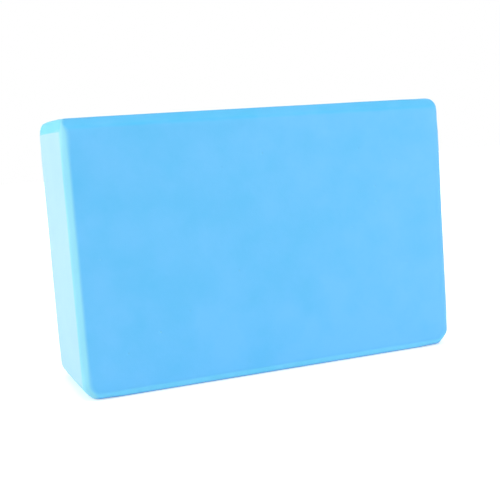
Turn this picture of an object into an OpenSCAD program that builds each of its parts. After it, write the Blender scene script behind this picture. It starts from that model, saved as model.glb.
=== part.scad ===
// Foam yoga block, cut from one piece and standing on a long narrow side.
// The origin is the middle of the face that it stands on. X runs along the length,
// Y from the front face to the back face, and Z up.

/* [Block] */
// Length from end to end
block_length = 228.6; // [180:0.1:300]
// Thickness from the front face to the back face
block_thickness = 76.2; // [50:0.1:120]
// Height as it stands on a long narrow side
block_height = 152.4; // [100:0.1:200]

/* [Edge bevels] */
// Reach of the bevel on an upright edge, onto both faces that meet there
upright_bevel = 3.2; // [1:0.1:10]
// Reach of the bevel on an upper long edge, onto the top face
upper_long_bevel_depth = 6.5; // [1:0.1:15]
// Reach of the bevel on an upper long edge, onto the front or back face
upper_long_bevel_rise = 5.6; // [1:0.1:15]
// Reach of the bevel on a lower long edge, onto the bottom face
lower_long_bevel_depth = 2.5; // [1:0.1:15]
// Reach of the bevel on a lower long edge, onto the front or back face
lower_long_bevel_rise = 4.4; // [1:0.1:15]
// Reach of the bevel on an upper cross edge, onto the top face
upper_cross_bevel_run = 1.5; // [1:0.1:15]
// Reach of the bevel on an upper cross edge, onto the end face
upper_cross_bevel_rise = 7; // [1:0.1:15]
// Reach of the bevel on a lower cross edge, onto the bottom face
lower_cross_bevel_run = 5.7; // [1:0.1:15]
// Reach of the bevel on a lower cross edge, onto the end face
lower_cross_bevel_rise = 6.6; // [1:0.1:15]

/* [Corner trims] */
// Reach of an upper corner's trim along the three edges that meet there, as they were before the bevels
upper_corner_trim = 8; // [7:0.1:20]
// Reach of a lower corner's trim along the three edges that meet there, as they were before the bevels
lower_corner_trim = 10.5; // [7:0.1:20]

/* [Soft borders] */
// Radius of the soft border between a bevel and the front or back face
face_border_radius = 4.5; // [0.5:0.1:8]
// Radius of the soft border between a bevel and an end, the top or the bottom
side_border_radius = 2.5; // [0.5:0.1:8]

/* [Hidden] */
$fn = 64;
foam_colour = "#73c7fc";
half_length = block_length / 2;
half_thickness = block_thickness / 2;
upright_cut = [upright_bevel, upright_bevel];
upper_long_cut = [upper_long_bevel_depth, upper_long_bevel_rise];
lower_long_cut = [lower_long_bevel_depth, lower_long_bevel_rise];
upper_cross_cut = [upper_cross_bevel_run, upper_cross_bevel_rise];
lower_cross_cut = [lower_cross_bevel_run, lower_cross_bevel_rise];
// Most of a side that the soft border at one end of it may take
border_reach_share = 0.45;

// The block as seen from the front, from the end and from above
front_outline = bevelled(half_length, 0, block_height, lower_cross_cut, upper_cross_cut,
    side_border_radius, side_border_radius);
end_outline = bevelled(half_thickness, 0, block_height, lower_long_cut, upper_long_cut,
    side_border_radius, face_border_radius);
plan_outline = bevelled(half_length, -half_thickness, half_thickness, upright_cut, upright_cut,
    face_border_radius, side_border_radius);

// Rectangle with bevelled corners, as points of [across, up, radius of the border].
// A cut is [reach across, reach up]. The level radius is for the borders of the lower and upper
// sides, and the side radius for those of the left and right sides.
function bevelled(half_width, low, high, low_cut, high_cut, level_radius, side_radius) = [
    [-half_width + low_cut.x, low, level_radius],
    [half_width - low_cut.x, low, level_radius],
    [half_width, low + low_cut.y, side_radius],
    [half_width, high - high_cut.y, side_radius],
    [half_width - high_cut.x, high, level_radius],
    [-half_width + high_cut.x, high, level_radius],
    [-half_width, high - high_cut.y, side_radius],
    [-half_width, low + low_cut.y, side_radius],
];

function flat(point) = [point.x, point.y];
function unit(vector) = vector / norm(vector);

// Round of one corner of an outline: its first point, its last point, its centre and its radius.
// A radius that the sides next to the corner have no room for is limited by them.
function corner_round(outline, i) =
    let (count = len(outline))
    let (here = flat(outline[i]))
    let (to_last = flat(outline[(i + count - 1) % count]) - here)
    let (to_next = flat(outline[(i + 1) % count]) - here)
    let (half_angle = acos(unit(to_last) * unit(to_next)) / 2)
    let (room = border_reach_share * min(norm(to_last), norm(to_next)))
    let (radius = min(outline[i].z, room * tan(half_angle)))
    let (reach = radius / tan(half_angle))
    let (inward = unit(unit(to_last) + unit(to_next)))
    [here + unit(to_last) * reach,
     here + unit(to_next) * reach,
     here + inward * radius / sin(half_angle),
     radius];

// Outline with a true arc at each of its corners
module softened(outline) {
    rounds = [for (i = [0 : len(outline) - 1]) corner_round(outline, i)];
    polygon([for (round = rounds) each [round[0], round[1]]]);
    for (round = rounds)
        translate(round[2])
            circle(round[3]);
}

// What the three outlines have in common
module bevelled_body() {
    intersection() {
        rotate([90, 0, 0])
            linear_extrude(block_thickness, center = true)
                softened(front_outline);
        rotate([90, 0, 90])
            linear_extrude(block_length, center = true)
                softened(end_outline);
        linear_extrude(block_height)
            softened(plan_outline);
    }
}

// Waste of a corner at the origin, beyond a plane that crosses the three edges there at one reach.
// The sides are -1 or 1 along each axis and say which way the corner points.
module corner_waste(sides, reach) {
    rotate([0, acos(sides.z / norm(sides)), atan2(sides.y, sides.x)])
        translate([-reach, -reach, -reach / norm(sides)])
            cube(2 * reach);
}

// The foam body
module block() {
    color(foam_colour)
        difference() {
            bevelled_body();
            for (x_side = [-1, 1], y_side = [-1, 1]) {
                translate([x_side * half_length, y_side * half_thickness, block_height])
                    corner_waste([x_side, y_side, 1], upper_corner_trim);
                translate([x_side * half_length, y_side * half_thickness, 0])
                    corner_waste([x_side, y_side, -1], lower_corner_trim);
            }
        }
}

block();
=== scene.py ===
"""Foam yoga block on a pale floor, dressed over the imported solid. Lengths are in metres."""
import math

import bmesh
import bpy
import numpy as np
from mathutils import Matrix, Vector, noise
from mathutils.bvhtree import BVHTree


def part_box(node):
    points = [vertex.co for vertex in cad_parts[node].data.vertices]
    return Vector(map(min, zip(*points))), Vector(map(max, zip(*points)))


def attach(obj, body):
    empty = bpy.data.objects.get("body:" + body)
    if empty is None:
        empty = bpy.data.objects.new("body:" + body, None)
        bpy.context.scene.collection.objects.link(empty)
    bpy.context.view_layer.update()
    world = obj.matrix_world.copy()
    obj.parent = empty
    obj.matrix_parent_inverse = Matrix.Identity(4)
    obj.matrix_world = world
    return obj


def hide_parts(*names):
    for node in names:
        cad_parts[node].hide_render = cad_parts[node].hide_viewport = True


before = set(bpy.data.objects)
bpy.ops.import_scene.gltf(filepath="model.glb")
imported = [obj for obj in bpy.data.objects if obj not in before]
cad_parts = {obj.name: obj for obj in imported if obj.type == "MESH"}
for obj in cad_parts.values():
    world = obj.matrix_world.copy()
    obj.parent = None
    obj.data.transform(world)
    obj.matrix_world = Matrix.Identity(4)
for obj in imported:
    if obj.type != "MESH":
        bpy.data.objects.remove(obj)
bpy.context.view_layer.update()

block_low, block_high = (np.array(corner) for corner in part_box("block"))
block_middle = (block_low + block_high) / 2
MM = 0.001
WHITE = (1, 1, 1, 1)
# Part of a normal along an axis where a surface turns halfway from that axis to the next
DIAGONAL_FACING = math.sqrt(0.5)

# Camera, fitted to the photograph with its optical axis held a little right of the picture's middle
PHOTO_SIDE_PIXELS = 500
FOCAL_PIXELS = 963.6
AXIS_PIXEL_ACROSS = 280
SENSOR_WIDTH_MM = 36
CAMERA_PLACE = Vector((-199.2, -547.1, 135.0)) * MM
CAMERA_HEADING_DEG = 21.76
CAMERA_PITCH_DEG = -6.69
CAMERA_ROLL_DEG = -3.90

# Grid that the foam skin is made of, fine towards the edges
EDGE_ZONE = 13 * MM
CORNER_ZONE = 20 * MM
FINE_STEP = 0.65 * MM
WIDE_STEP = 2.1 * MM
EDGE_SMOOTHING_PASSES = 2
CORNER_SMOOTHING_PASSES = 30

# Unevenness of the foam: broad hollows in the faces, and bevels that wander as trimmed by hand
HOLLOW_DEPTH = 0.12 * MM
HOLLOW_SPAN = 34 * MM
WANDER_DEPTH = 0.3 * MM
WANDER_SPAN = 19 * MM
WANDER_SHIFT = Vector((3.7, 1.9, 8.3))
BEVEL_SLOPE = 1 - DIAGONAL_FACING

# The largest pinhole, in the front face, measured from the middle of its foot
LARGEST_PINHOLE_ACROSS = -70 * MM
LARGEST_PINHOLE_UP = 33 * MM
PINHOLE_RADIUS = 0.85 * MM
PINHOLE_DEPTH = 0.5 * MM
# Smaller pinholes, placed by chance in all faces but the left end, and their size beside the largest
PINHOLES_ON_LARGE_FACE = 13
PINHOLES_ON_NARROW_FACE = 5
SMALL_PINHOLE_SIZES = (0.6, 0.8)
PINHOLE_SEED = 4
# Zone around a pinhole where the skin is divided more finely, and the cuts in each edge there
PINHOLE_ZONE = 3 * MM
PINHOLE_CUTS = 4

# Foam colours, from the deep to the pale end of the mottling: the skin of the large faces,
# the top with its bevels, the lower bevels, the ends with theirs, and the upper bevels of the ends. All but
# the skin's paint light and shade by which way the surface faces.
SKIN_COLOURS = ((0.104, 0.522, 0.913, 1), (0.137, 0.544, 0.949, 1))
# Painted light: the top and its bevels are a deeper, bluer copy of the skin colour, for how light falls on
# faces turned up
TOP_PAINTED_LIGHT_COLOURS = ((0.060, 0.530, 0.917, 1), (0.104, 0.552, 0.953, 1))
# Painted light: the lower bevels are paler than the skin, standing in for light bounced up from the floor
LOW_PAINTED_LIGHT_COLOURS = ((0.154, 0.676, 0.972, 1), (0.194, 0.700, 1.000, 1))
# The ends are paler, partly as the colour of cut foam and partly as painted light from the left
END_TONE_AND_PAINTED_LIGHT_COLOURS = ((0.270, 0.735, 0.930, 1), (0.300, 0.765, 0.950, 1))
# Painted light and shade: the ends' upper bevels sit between the skin and end colours, for the light they
# turn away from
CROSS_PAINTED_LIGHT_COLOURS = ((0.140, 0.690, 0.945, 1), (0.165, 0.720, 0.965, 1))
# Parts of a normal along X or Z between which one colour gives way to the next. SQUARE_FACING is the
# part along Y, without its sign, over which the colour of the ends' upper bevels fades.
# The left end's pale colour runs round onto its front bevel and the right end's does not: painted light
# from the left
LEFT_FACING = (-0.55, -0.05)
RIGHT_FACING = (0.75, 0.95)
TOP_FACING = (0.15, 0.6)
LOWERED_FACING = (-0.5, -0.15)
SLANTED_FACING = (-0.7, -0.5)
RAISED_FACING = (0.06, 0.18)
SQUARE_FACING = (0.15, 0.5)
# Sheen of the skin and of the flat ends, which have a nap of cut cells
SKIN_SHEEN = 0.1
END_SHEEN = 0.7
SHEEN_ROUGHNESS = 0.5
FOAM_IOR = 1.5
# Least part of a normal along X on the flat of an end
FLAT_FACING = 0.999
# Clouds of the mottling, grain of the surface and single cells of the foam
CLOUD_SPAN = 22 * MM
CLOUD_NOISE_ROUGHNESS = 0.55
GRAIN_SPAN = 2.4 * MM
GRAIN_NOISE_ROUGHNESS = 0.6
NOISE_DETAIL = 3.0
CELL_SPAN = 0.8 * MM
MOTTLE_RANGE = (0.3, 0.7)
# Roughness from the low to the high of the grain, and what the ends add to it
GRAIN_ROUGHNESS = (0.50, 0.62)
END_ROUGHNESS_RISE = 0.06
# Bump of the cells, with its strength on the skin and on the ends, and bump of the grain
CELL_BUMP_DEPTH = 0.12 * MM
CELL_BUMP_STRENGTHS = (0.12, 0.3)
GRAIN_BUMP_DEPTH = 0.2 * MM
GRAIN_BUMP_STRENGTH = 0.2
# Paler patches, as millimetres across and up in the plane of the front face, and their radius:
# three small ones, three broad ones low on the face that paint light rising towards the bottom, and three
# above it that make its upper edge paler on the right
PALE_SPOTS_AND_PAINTED_LIGHT = [
    (-96, 32, 9), (-88, 43, 8), (20, 26, 9), (-60, 5, 60), (35, 0, 60), (100, 15, 90),
    (45, 160, 30), (75, 160, 30), (105, 160, 30),
]
PATCH_STRENGTH = 0.14

# Light from around and from overhead. The white that is seen fades out between two heights.
WALL_LIGHT = 0.5
CEILING_LIGHT = 0.4
CEILING_HEIGHTS = (0.3, 0.9)
WHITE_HEIGHTS = (math.sin(math.radians(25)), math.sin(math.radians(55)))
FLOOR_COLOUR = (0.9, 0.9, 0.9, 1)
# Whiteness that the floor is seen with, near the block and far from it, and the distances
FLOOR_GLOW = (0.45, 0.9)
FLOOR_GLOW_REACH = (0.3, 1.2)
FLOOR_HALF_WIDTH = 4
LAMPS = [
    # name, place from the block's middle, width, watts
    ("left_softbox", (-0.85, -0.2, 0.1), 0.45, 1.2),
    ("left_back_softbox", (-0.95, 0.35, 0.1), 0.45, 3.0),
    ("right_softbox", (1.1, -1.1, 0.1), 0.45, 6.6),
    ("front_softbox", (0.0, -1.7, 1.6), 1.3, 10.3),
    ("overhead_softbox", (0.0, -0.15, 1.4), 1.0, 6.0),
    ("back_softbox", (0.6, 1.2, 0.5), 0.9, 3.0),
]


def grid_lines(low, high):
    """Places of the grid's lines along one axis."""
    fine = np.linspace(0, EDGE_ZONE, round(EDGE_ZONE / FINE_STEP) + 1)
    inner_span = high - low - 2 * EDGE_ZONE
    wide = np.linspace(EDGE_ZONE, EDGE_ZONE + inner_span, round(inner_span / WIDE_STEP) + 1)
    return np.concatenate([low + fine[:-1], low + wide[:-1], high - fine[::-1]])


def box_skin(lines):
    """Points and outward quads of a box's six sides, from its grid lines along each axis."""
    shape = [len(line) for line in lines]
    on_skin = np.zeros(shape, bool)
    for axis in range(3):
        for side in (0, -1):
            np.moveaxis(on_skin, axis, 0)[side] = True
    index = np.full(shape, -1)
    index[on_skin] = np.arange(on_skin.sum())
    points = np.stack(np.meshgrid(*lines, indexing="ij"), -1)[on_skin]
    quads = []
    for axis in range(3):
        for side in (0, -1):
            sheet = np.moveaxis(index, axis, 0)[side]
            loop = [sheet[:-1, :-1], sheet[1:, :-1], sheet[1:, 1:], sheet[:-1, 1:]]
            flip = (side == 0) != (axis == 1)
            quads.append(np.stack(loop[::-1] if flip else loop, -1).reshape(-1, 4))
    return points, np.concatenate(quads)


def on_solid(points, node):
    """Each point of the box's skin moved in to the CAD solid, straight or, near the edges, fanned."""
    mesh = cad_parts[node].data
    tree = BVHTree.FromPolygons([v.co for v in mesh.vertices], [p.vertices for p in mesh.polygons])
    starts = np.clip(points, block_low + EDGE_ZONE, block_high - EDGE_ZONE)
    hits = [tree.ray_cast(Vector(a), Vector(b - a))[0] for a, b in zip(starts, points)]
    return np.array(hits)


def corner_shares(points):
    """How much each point belongs to a corner of the block: 1 in the edge zone, 0 past the corner zone."""
    inward = np.minimum(points - block_low, block_high - points).max(axis=1)
    return np.clip((CORNER_ZONE - inward) / (CORNER_ZONE - EDGE_ZONE), 0, 1)


def smoothed(points, quads, passes, shares):
    """Points drawn by their shares halfway to the mean of their neighbours, which rounds off facets."""
    start, end = quads.ravel(), np.roll(quads, -1, axis=1).ravel()
    count = np.bincount(start, minlength=len(points)) + np.bincount(end, minlength=len(points))
    for _ in range(passes):
        total = np.zeros_like(points)
        np.add.at(total, start, points[end])
        np.add.at(total, end, points[start])
        points = points + (total / count[:, None] - points) * shares[:, None] / 2
    return points


def point_normals(points, quads):
    """Unit normal at each point."""
    corner = points[quads]
    facing = np.cross(corner[:, 2] - corner[:, 0], corner[:, 3] - corner[:, 1])
    total = np.zeros_like(points)
    for k in range(4):
        np.add.at(total, quads[:, k], facing)
    return total / np.linalg.norm(total, axis=1)[:, None]


def noise_at(points, span, shift=Vector((0, 0, 0))):
    """Smooth noise from 0 to 1 at each point."""
    return np.array([0.5 + 0.5 * noise.noise(Vector(p) / span + shift) for p in points])


def uneven(points, quads):
    """Points moved by broad hollows in the faces and by the wander of the bevels to both sides."""
    normals = point_normals(points, quads)
    bevel_share = np.clip((1 - np.abs(normals).max(axis=1)) / BEVEL_SLOPE, 0, 1)
    depth = HOLLOW_DEPTH * noise_at(points, HOLLOW_SPAN)
    depth += WANDER_DEPTH * bevel_share * (noise_at(points, WANDER_SPAN, WANDER_SHIFT) - 0.5)
    return points - normals * depth[:, None]


def pinhole_places():
    """Each pinhole's place on the box around the block, the way it goes in, and its relative size."""
    front = block_low[1]
    places = [((LARGEST_PINHOLE_ACROSS, front, LARGEST_PINHOLE_UP), (0, 1, 0), 1)]
    chance = np.random.default_rng(PINHOLE_SEED)
    # The back, the right end, the bottom, the top and the front
    for axis, side in [(1, 1), (0, 1), (2, -1), (2, 1), (1, -1)]:
        inward = np.zeros(3)
        inward[axis] = -side
        for _ in range(PINHOLES_ON_LARGE_FACE if axis == 1 else PINHOLES_ON_NARROW_FACE):
            place = chance.uniform(block_low + EDGE_ZONE, block_high - EDGE_ZONE)
            place[axis] = (block_low if side < 0 else block_high)[axis]
            places.append((place, inward, chance.uniform(*SMALL_PINHOLE_SIZES)))
    return places


def add_pinholes(mesh):
    """Pinholes sunk into the skin, which is divided more finely around them."""
    skin = bmesh.new()
    skin.from_mesh(mesh)
    skin.faces.ensure_lookup_table()
    middles = np.array([face.calc_center_median() for face in skin.faces])
    places = pinhole_places()
    edges = set()
    for place, _, _ in places:
        for i in np.flatnonzero(np.linalg.norm(middles - place, axis=1) < PINHOLE_ZONE):
            edges.update(skin.faces[i].edges)
    edges = sorted(edges, key=lambda edge: edge.index)
    bmesh.ops.subdivide_edges(skin, edges=edges, cuts=PINHOLE_CUTS, use_grid_fill=True)
    points = np.array([vertex.co for vertex in skin.verts])
    for place, inward, size in places:
        reach = np.linalg.norm(points - place, axis=1) / (PINHOLE_RADIUS * size)
        depth = PINHOLE_DEPTH * size * np.clip(1 - reach ** 2, 0, None) ** 2
        points += np.outer(depth, inward)
    for vertex, point in zip(skin.verts, points):
        vertex.co = point
    skin.to_mesh(mesh)
    skin.free()


def make_foam():
    """The foam body, as one closed skin."""
    lines = [grid_lines(low, high) for low, high in zip(block_low, block_high)]
    points, quads = box_skin(lines)
    points = on_solid(points, "block")
    points = smoothed(points, quads, EDGE_SMOOTHING_PASSES, np.ones(len(points)))
    points = smoothed(points, quads, CORNER_SMOOTHING_PASSES, corner_shares(points))
    points = uneven(points, quads)
    mesh = bpy.data.meshes.new("foam_block")
    mesh.from_pydata(points.tolist(), [], quads.tolist())
    add_pinholes(mesh)
    mesh.shade_smooth()
    foam = bpy.data.objects.new("foam_block", mesh)
    bpy.context.scene.collection.objects.link(foam)
    return foam


def end_extent(node):
    """Lowest and highest corner of the flat part of the CAD solid's ends."""
    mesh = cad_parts[node].data
    flat = [face for face in mesh.polygons if abs(face.normal.x) > FLAT_FACING]
    corners = np.array([mesh.vertices[i].co for face in flat for i in face.vertices])
    return corners.min(axis=0), corners.max(axis=0)


def add_node(tree, kind, **settings):
    """New node in a node tree. A setting names an input socket, or else the node's own property."""
    node = tree.nodes.new(kind)
    for name, value in settings.items():
        label = name.replace("_", " ")
        socket = next((s for s in node.inputs if s.name.lower() == label and s.enabled), None)
        if socket is not None:
            socket.default_value = value
        else:
            setattr(node, name, value)
    return node


def math_node(tree, operation, *values):
    """Result of a Math node on sockets or plain numbers."""
    node = add_node(tree, "ShaderNodeMath", operation=operation)
    for socket, value in zip(node.inputs, values):
        if isinstance(value, bpy.types.NodeSocket):
            tree.links.new(value, socket)
        else:
            socket.default_value = value
    return node.outputs[0]


def map_range(tree, value, from_range, to_range, interpolation="LINEAR"):
    """Result of a Map Range node on a socket."""
    node = add_node(tree, "ShaderNodeMapRange", interpolation_type=interpolation,
                    from_min=from_range[0], from_max=from_range[1],
                    to_min=to_range[0], to_max=to_range[1])
    tree.links.new(value, node.inputs["Value"])
    return node.outputs["Result"]


def colour_ramp(tree, value, places, colours):
    """Colour that runs from one to another between two places of a value."""
    ramp = tree.nodes.new("ShaderNodeValToRGB")
    for element, place, colour in zip(ramp.color_ramp.elements, places, colours):
        element.position = place
        element.color = colour
    tree.links.new(value, ramp.inputs["Fac"])
    return ramp.outputs["Color"]


def foam_material(name, sheen):
    """Matte closed-cell foam: a mottled blue skin, paler at the ends, partly as the colour of cut foam and
    partly as painted light from the left, with painted light and shade on the top and the bevels.
    """
    material = bpy.data.materials.new(name)
    material.use_nodes = True
    tree = material.node_tree
    link = tree.links.new
    shader = tree.nodes["Principled BSDF"]
    shader.inputs["IOR"].default_value = FOAM_IOR
    shader.inputs["Sheen Weight"].default_value = sheen
    shader.inputs["Sheen Roughness"].default_value = SHEEN_ROUGHNESS
    coordinates = add_node(tree, "ShaderNodeTexCoord")
    place = coordinates.outputs["Object"]

    clouds = add_node(tree, "ShaderNodeTexNoise", scale=1 / CLOUD_SPAN, detail=NOISE_DETAIL,
                      roughness=CLOUD_NOISE_ROUGHNESS)
    grain = add_node(tree, "ShaderNodeTexNoise", scale=1 / GRAIN_SPAN, detail=NOISE_DETAIL,
                     roughness=GRAIN_NOISE_ROUGHNESS)
    cells = add_node(tree, "ShaderNodeTexVoronoi", scale=1 / CELL_SPAN)
    for texture in (clouds, grain, cells):
        link(place, texture.inputs["Vector"])

    # The bevels share in the colour of the faces that they lead to. These shares by facing paint light and
    # shade:
    # the top, the lower bevels and the ends' upper bevels get lit or shaded copies of the skin colour, and
    # the ends partly so.
    facing = add_node(tree, "ShaderNodeSeparateXYZ")
    link(coordinates.outputs["Normal"], facing.inputs[0])
    left_share = map_range(tree, facing.outputs["X"], LEFT_FACING, (1, 0), "SMOOTHSTEP")
    right_share = map_range(tree, facing.outputs["X"], RIGHT_FACING, (0, 1), "SMOOTHSTEP")
    end_share = math_node(tree, "MAXIMUM", left_share, right_share)
    top_light_share = map_range(tree, facing.outputs["Z"], TOP_FACING, (0, 1), "SMOOTHSTEP")
    lowered = map_range(tree, facing.outputs["Z"], LOWERED_FACING, (1, 0), "SMOOTHSTEP")
    slanted = map_range(tree, facing.outputs["Z"], SLANTED_FACING, (0, 1), "SMOOTHSTEP")
    low_light_share = math_node(tree, "MULTIPLY", lowered, slanted)
    raised = map_range(tree, facing.outputs["Z"], RAISED_FACING, (0, 1))
    square = map_range(tree, math_node(tree, "ABSOLUTE", facing.outputs["Y"]), SQUARE_FACING, (1, 0))
    cross_light_share = math_node(tree, "MULTIPLY", end_share, math_node(tree, "MULTIPLY", raised, square))

    paleness = clouds.outputs["Fac"]
    for x, z, radius in PALE_SPOTS_AND_PAINTED_LIGHT:
        distance = add_node(tree, "ShaderNodeVectorMath", operation="DISTANCE")
        distance.inputs[1].default_value = (x * MM, block_low[1], z * MM)
        link(place, distance.inputs[0])
        patch = map_range(tree, distance.outputs["Value"], (0, radius * MM), (PATCH_STRENGTH, 0),
                          "SMOOTHSTEP")
        paleness = math_node(tree, "ADD", paleness, patch)
    colour = colour_ramp(tree, paleness, MOTTLE_RANGE, SKIN_COLOURS)
    for share, colours in ((top_light_share, TOP_PAINTED_LIGHT_COLOURS), (low_light_share, LOW_PAINTED_LIGHT_COLOURS),
                           (end_share, END_TONE_AND_PAINTED_LIGHT_COLOURS), (cross_light_share, CROSS_PAINTED_LIGHT_COLOURS)):
        mix = add_node(tree, "ShaderNodeMix", data_type="RGBA")
        factor, first, second = (s for s in mix.inputs if s.enabled)
        link(share, factor)
        link(colour, first)
        link(colour_ramp(tree, paleness, MOTTLE_RANGE, colours), second)
        colour = next(s for s in mix.outputs if s.enabled)
    link(colour, shader.inputs["Base Color"])

    roughness = map_range(tree, grain.outputs["Fac"], (0, 1), GRAIN_ROUGHNESS)
    roughness = math_node(tree, "MULTIPLY_ADD", end_share, END_ROUGHNESS_RISE, roughness)
    link(roughness, shader.inputs["Roughness"])

    cell_bump = add_node(tree, "ShaderNodeBump", distance=CELL_BUMP_DEPTH)
    grain_bump = add_node(tree, "ShaderNodeBump", strength=GRAIN_BUMP_STRENGTH, distance=GRAIN_BUMP_DEPTH)
    link(map_range(tree, end_share, (0, 1), CELL_BUMP_STRENGTHS), cell_bump.inputs["Strength"])
    link(cells.outputs["Distance"], cell_bump.inputs["Height"])
    link(grain.outputs["Fac"], grain_bump.inputs["Height"])
    link(cell_bump.outputs["Normal"], grain_bump.inputs["Normal"])
    link(grain_bump.outputs["Normal"], shader.inputs["Normal"])
    return material


def seen_directly(tree):
    """Socket that is 1 for rays that show the backdrop: from the camera, mirrored or through glass."""
    path = add_node(tree, "ShaderNodeLightPath")
    either = math_node(tree, "MAXIMUM", path.outputs["Is Camera Ray"], path.outputs["Is Glossy Ray"])
    return math_node(tree, "MAXIMUM", either, path.outputs["Is Transmission Ray"])


def make_world():
    """Soft light from all round, a little weaker from overhead, and seen as plain white along the walls."""
    world = bpy.data.worlds.new("studio")
    world.use_nodes = True
    tree = world.node_tree
    link = tree.links.new
    ambient = tree.nodes["Background"]
    white = add_node(tree, "ShaderNodeBackground", strength=1.0)
    for background in (ambient, white):
        background.inputs["Color"].default_value = WHITE
    direction = add_node(tree, "ShaderNodeSeparateXYZ")
    link(add_node(tree, "ShaderNodeTexCoord").outputs["Generated"], direction.inputs[0])
    height = direction.outputs["Z"]
    link(map_range(tree, height, CEILING_HEIGHTS, (WALL_LIGHT, CEILING_LIGHT)), ambient.inputs["Strength"])
    white_share = map_range(tree, height, WHITE_HEIGHTS, (1, 0))
    mix = add_node(tree, "ShaderNodeMixShader")
    link(math_node(tree, "MULTIPLY", white_share, seen_directly(tree)), mix.inputs[0])
    link(ambient.outputs[0], mix.inputs[1])
    link(white.outputs[0], mix.inputs[2])
    link(mix.outputs[0], tree.nodes["World Output"].inputs["Surface"])
    bpy.context.scene.world = world


def make_floor():
    """Pale floor that keeps the block's shadow and runs into the white behind it."""
    reach = FLOOR_HALF_WIDTH
    mesh = bpy.data.meshes.new("floor")
    corners = [(-reach, -reach, 0), (reach, -reach, 0), (reach, reach, 0), (-reach, reach, 0)]
    mesh.from_pydata(corners, [], [(0, 1, 2, 3)])
    floor = bpy.data.objects.new("floor", mesh)
    bpy.context.scene.collection.objects.link(floor)

    material = bpy.data.materials.new("pale_floor")
    material.use_nodes = True
    tree = material.node_tree
    link = tree.links.new
    tree.nodes.remove(tree.nodes["Principled BSDF"])
    diffuse = add_node(tree, "ShaderNodeBsdfDiffuse", color=FLOOR_COLOUR)
    distance = add_node(tree, "ShaderNodeVectorMath", operation="LENGTH")
    link(add_node(tree, "ShaderNodeTexCoord").outputs["Object"], distance.inputs[0])
    whiteness = map_range(tree, distance.outputs["Value"], FLOOR_GLOW_REACH, FLOOR_GLOW)
    glow = add_node(tree, "ShaderNodeEmission")
    link(math_node(tree, "MULTIPLY", seen_directly(tree), whiteness), glow.inputs["Strength"])
    both = add_node(tree, "ShaderNodeAddShader")
    link(diffuse.outputs[0], both.inputs[0])
    link(glow.outputs[0], both.inputs[1])
    link(both.outputs[0], tree.nodes["Material Output"].inputs["Surface"])
    mesh.materials.append(material)


def make_lamps():
    """Square softboxes that face the block's middle."""
    for name, place, width, watts in LAMPS:
        data = bpy.data.lights.new(name, "AREA")
        data.size = width
        data.energy = watts
        lamp = bpy.data.objects.new(name, data)
        lamp.location = Vector(block_middle) + Vector(place)
        lamp.rotation_euler = (-Vector(place)).to_track_quat("-Z", "Y").to_euler()
        bpy.context.scene.collection.objects.link(lamp)


def make_camera():
    """Camera at the photograph's place, with its tilt."""
    heading, pitch, roll = map(math.radians, (CAMERA_HEADING_DEG, CAMERA_PITCH_DEG, CAMERA_ROLL_DEG))
    level_ahead = Vector((math.sin(heading), math.cos(heading), 0))
    ahead = level_ahead * math.cos(pitch) + Vector((0, 0, math.sin(pitch)))
    level = ahead.cross(Vector((0, 0, 1))).normalized()
    right = level * math.cos(roll) + level.cross(ahead) * math.sin(roll)
    data = bpy.data.cameras.new("camera")
    data.sensor_width = SENSOR_WIDTH_MM
    data.lens = SENSOR_WIDTH_MM * FOCAL_PIXELS / PHOTO_SIDE_PIXELS
    data.shift_x = 0.5 - AXIS_PIXEL_ACROSS / PHOTO_SIDE_PIXELS
    camera = bpy.data.objects.new("camera", data)
    axes = Matrix((right, right.cross(ahead), -ahead)).transposed()
    camera.matrix_world = Matrix.Translation(CAMERA_PLACE) @ axes.to_4x4()
    bpy.context.scene.collection.objects.link(camera)
    bpy.context.scene.camera = camera


bpy.context.scene.view_settings.view_transform = "Standard"
make_camera()
make_world()
make_floor()
make_lamps()

foam = make_foam()
foam.data.materials.append(foam_material("foam_skin", SKIN_SHEEN))
foam.data.materials.append(foam_material("foam_ends", END_SHEEN))
end_low, end_high = end_extent("block")
for face in foam.data.polygons:
    within = all(end_low[axis] < face.center[axis] < end_high[axis] for axis in (1, 2))
    face.material_index = int(within and abs(face.normal.x) > DIAGONAL_FACING)
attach(foam, "root")
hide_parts("block")
